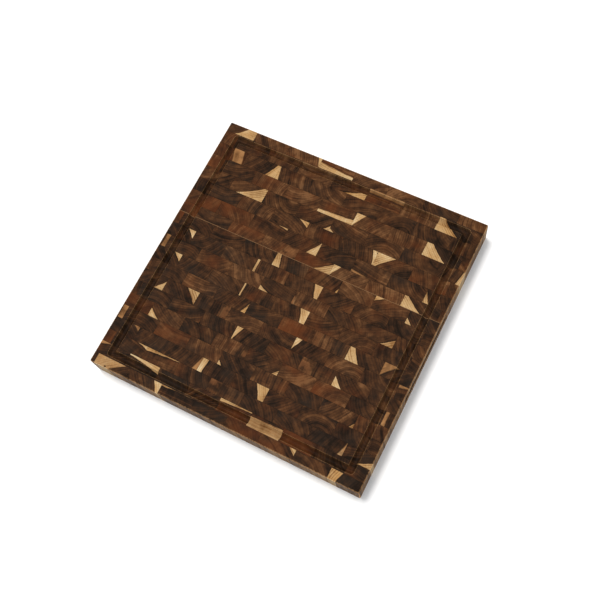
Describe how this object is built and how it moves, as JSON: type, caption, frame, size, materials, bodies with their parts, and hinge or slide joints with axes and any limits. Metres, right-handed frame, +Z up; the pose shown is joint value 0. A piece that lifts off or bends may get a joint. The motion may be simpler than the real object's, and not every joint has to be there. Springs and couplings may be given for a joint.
{
  "type": "cutting board",
  "caption": "Square end-grain walnut cutting board of glued strips of upright blocks, with a juice groove round the top face and a finger grip in each end.",
  "frame": {"origin": "centre of the underside, on the surface that the board lies on", "axes": "+Z up out of the work surface, +X along the strips towards one finger grip, +Y across the strips away from the user"},
  "size_m": [0.508, 0.508, 0.0508],
  "materials": {
    "walnut_end_grain": "sanded and oiled end grain, satin"
  },
  "bodies": {
    "root": {"far_strip_1": "walnut_end_grain", "far_strip_2": "walnut_end_grain", "far_strip_3": "walnut_end_grain", "far_strip_4": "walnut_end_grain", "far_strip_5": "walnut_end_grain", "far_strip_6": "walnut_end_grain", "far_strip_7": "walnut_end_grain", "far_strip_8": "walnut_end_grain", "near_strip_1": "walnut_end_grain", "near_strip_2": "walnut_end_grain", "near_strip_3": "walnut_end_grain", "near_strip_4": "walnut_end_grain", "near_strip_5": "walnut_end_grain", "near_strip_6": "walnut_end_grain", "near_strip_7": "walnut_end_grain", "near_strip_8": "walnut_end_grain", "near_strip_9": "walnut_end_grain", "near_strip_10": "walnut_end_grain", "near_strip_11": "walnut_end_grain", "near_strip_12": "walnut_end_grain", "near_strip_13": "walnut_end_grain"}
  },
  "joints": []
}
